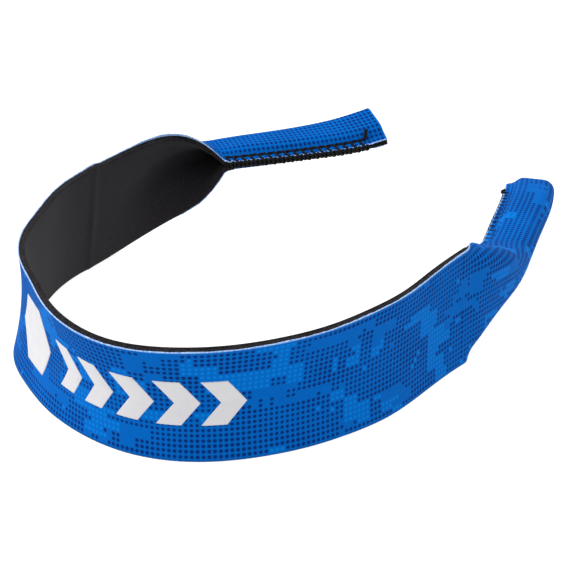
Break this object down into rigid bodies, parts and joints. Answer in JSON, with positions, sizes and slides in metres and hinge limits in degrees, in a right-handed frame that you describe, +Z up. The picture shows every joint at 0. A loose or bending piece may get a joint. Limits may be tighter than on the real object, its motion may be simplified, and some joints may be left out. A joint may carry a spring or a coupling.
{
  "type": "sunglass retainer strap",
  "caption": "Soft neoprene eyewear retainer strap, printed outside, whose folded and overlocked ends are sleeves for the temples of glasses.",
  "frame": {"origin": "middle of the footprint, on the surface that the strap's lower edge stands on", "axes": "+Z up, -Y is the way the printed middle faces, the two sleeves reach towards +Y"},
  "size_m": [0.1182, 0.182, 0.0325],
  "materials": {
    "jersey": "matte",
    "foam": "matte",
    "lining": "matte",
    "print": "matte",
    "thread": "satin"
  },
  "bodies": {
    "band": {"band_jersey": "jersey", "band_foam": "foam", "band_lining": "lining", "print_badge": "print", "print_chevron_1": "print", "print_chevron_2": "print", "print_chevron_3": "print", "print_chevron_4": "print", "print_chevron_5": "print"},
    "left_end": {"left_end_jersey": "jersey", "left_end_foam": "foam", "left_end_lining": "lining", "left_needle_thread": "thread", "left_upper_looper": "thread", "left_lower_looper": "thread", "left_thread_tail": "thread"},
    "right_end": {"right_end_jersey": "jersey", "right_end_foam": "foam", "right_end_lining": "lining", "right_needle_thread": "thread", "right_upper_looper": "thread", "right_lower_looper": "thread", "right_thread_tail": "thread"}
  },
  "joints": [
    {"name": "left_crease_flex", "type": "hinge", "parent": "band", "child": "left_end", "pos_m": [-0.05621, -0.00117, 0.015], "axis": [0.1215, -0.0095, 0.9925], "range_deg": [-12, 40], "stiffness_Nm_per_rad": 0.004},
    {"name": "right_crease_flex", "type": "hinge", "parent": "band", "child": "right_end", "pos_m": [0.05668, -0.00261, 0.015], "axis": [0.0172, -0.003, -0.9998], "range_deg": [-12, 40], "stiffness_Nm_per_rad": 0.004}
  ]
}
